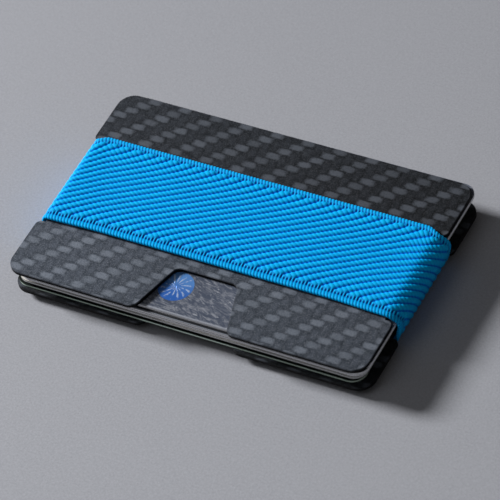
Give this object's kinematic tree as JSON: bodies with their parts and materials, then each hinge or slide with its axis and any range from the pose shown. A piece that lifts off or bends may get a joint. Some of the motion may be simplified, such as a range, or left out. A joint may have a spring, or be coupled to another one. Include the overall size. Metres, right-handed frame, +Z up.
{
  "type": "minimalist wallet",
  "caption": "Slim card wallet: two notched stiff plates hold a stack of cards between them, clamped by a wide elastic band, with a thumb notch for pushing cards out.",
  "frame": {"origin": "plan centre of the front plate, on the flat underside of the band's sewn pad that the wallet rests on", "axes": "+Z up through the stack from back plate to front plate, +X along the plates' long side towards the ends that the cards are flush with, +Y from the thumb notch towards the back long edge"},
  "size_m": [0.0898, 0.0558, 0.0095],
  "materials": {
    "carbon_fibre": "matte twill-weave carbon-fibre laminate, 2 mm tows",
    "elastic": "ribbed woven elastic webbing, diagonal ribs",
    "thread": "twisted polyester thread",
    "card_silver": "silver-grey printed PVC, streaked",
    "card_white": "white PVC with a printed face",
    "card_dark": "dark green-black PVC",
    "card_pale_green": "pale green PVC",
    "chip_contacts": "gold-plated contact pads",
    "foil": "blue diffraction foil"
  },
  "bodies": {
    "base": {"back_plate": "carbon_fibre", "elastic_band": "elastic", "seam_thread": "thread"},
    "front": {"front_plate": "carbon_fibre"},
    "card_1_body": {"card_1": "card_silver", "card_1_seal": "foil"},
    "card_2_body": {"card_2": "card_white", "card_2_chip": "chip_contacts"},
    "card_3_body": {"card_3": "card_white", "card_3_chip": "chip_contacts"},
    "card_4_body": {"card_4": "card_white", "card_4_chip": "chip_contacts"},
    "card_5_body": {"card_5": "card_dark"},
    "card_6_body": {"card_6": "card_pale_green"}
  },
  "joints": [
    {"name": "plate_lift", "type": "slide", "parent": "base", "child": "front", "axis": [0, 0, 1], "range_m": [0, 0.005], "deforming": ["elastic_band"]},
    {"name": "card_1_slide", "type": "slide", "parent": "base", "child": "card_1_body", "axis": [0, 1, 0], "range_m": [-0.04, 0.04]},
    {"name": "card_2_slide", "type": "slide", "parent": "base", "child": "card_2_body", "axis": [0, 1, 0], "range_m": [-0.04, 0.04]},
    {"name": "card_3_slide", "type": "slide", "parent": "base", "child": "card_3_body", "axis": [0, 1, 0], "range_m": [-0.04, 0.04]},
    {"name": "card_4_slide", "type": "slide", "parent": "base", "child": "card_4_body", "axis": [0, 1, 0], "range_m": [-0.04, 0.04]},
    {"name": "card_5_slide", "type": "slide", "parent": "base", "child": "card_5_body", "axis": [0, 1, 0], "range_m": [-0.04, 0.04]},
    {"name": "card_6_slide", "type": "slide", "parent": "base", "child": "card_6_body", "axis": [0, 1, 0], "range_m": [-0.04, 0.04]}
  ]
}
